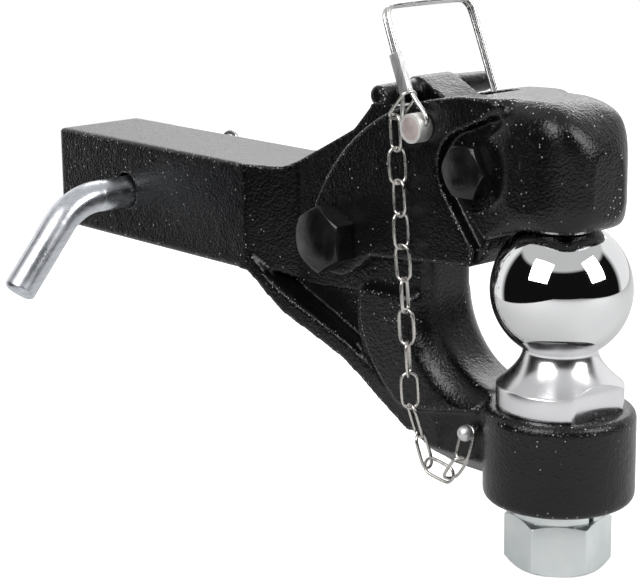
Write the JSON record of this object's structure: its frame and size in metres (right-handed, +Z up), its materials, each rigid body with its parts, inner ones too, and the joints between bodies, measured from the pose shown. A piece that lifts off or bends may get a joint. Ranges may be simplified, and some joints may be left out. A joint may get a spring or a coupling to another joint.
{
  "type": "pintle hook with hitch ball",
  "caption": "Receiver-shank pintle hook with a hinged upper jaw, spring latch, chained safety pin with wire bail, and a chrome hitch ball on the lower arm.",
  "frame": {"origin": "centre of the square end face of the shank", "axes": "+X along the shank towards the ball, +Z up along the ball's axis, +Y to the side away from the chain"},
  "size_m": [0.3577, 0.1436, 0.2316],
  "materials": {
    "black_coat": "fine textured black powder coat",
    "black_oxide": "satin black oxide",
    "chrome": "mirror chrome",
    "zinc": "bright zinc plate",
    "bright_steel": "turned and drawn bright steel",
    "nickel": "nickel plate"
  },
  "bodies": {
    "hook_body": {"hook_body": "black_coat", "hitch_ball": "chrome", "ball_lock_washer": "zinc", "ball_nut": "zinc", "jaw_pivot_bolt": "black_oxide", "jaw_pivot_washer": "black_oxide", "jaw_pivot_nut": "black_oxide", "chain_rivet": "nickel", "retaining_chain": "nickel"},
    "upper_jaw": {"upper_jaw": "black_coat", "latch_pivot_bolt": "black_oxide", "latch_pivot_washer": "black_oxide", "latch_pivot_nut": "black_oxide"},
    "latch_lever": {"latch_lever": "black_coat", "latch_spring": "bright_steel"},
    "safety_pin": {"safety_pin": "bright_steel"},
    "wire_bail": {"wire_bail": "bright_steel", "bail_ferrule": "bright_steel", "chain_top_link": "nickel"},
    "hitch_pin": {"hitch_pin": "zinc"},
    "hitch_pin_clip": {"hitch_pin_clip": "bright_steel"}
  },
  "joints": [
    {"name": "jaw_open", "type": "hinge", "parent": "hook_body", "child": "upper_jaw", "pos_m": [0.212, 0, 0], "axis": [0, -1, 0], "range_deg": [0, 50], "deforming": ["retaining_chain"]},
    {"name": "latch_lift", "type": "hinge", "parent": "upper_jaw", "child": "latch_lever", "pos_m": [0.2933, 0, 0.0398], "axis": [0, 1, 0], "range_deg": [0, 25]},
    {"name": "safety_pin_turn", "type": "hinge", "parent": "upper_jaw", "child": "safety_pin", "pos_m": [0.2678, 0, 0.0555], "axis": [0, 1, 0], "range_deg": [0, 75]},
    {"name": "bail_swing", "type": "hinge", "parent": "safety_pin", "child": "wire_bail", "pos_m": [0.2678, -0.0261, 0.0555], "axis": [0.9272, 0, 0.3746], "range_deg": [0, 100], "deforming": ["retaining_chain"]},
    {"name": "hitch_pin_slide", "type": "slide", "parent": "hook_body", "child": "hitch_pin", "axis": [0, -1, 0], "range_m": [0, 0.011]},
    {"name": "clip_pull", "type": "slide", "parent": "hitch_pin", "child": "hitch_pin_clip", "axis": [0, 0, 1], "range_m": [0, 0.026]}
  ],
  "couplings": [
    {"joint": "latch_lift", "follows": "jaw_open", "ratio": 0.5},
    {"joint": "safety_pin_turn", "follows": "jaw_open", "ratio": 1.5}
  ]
}
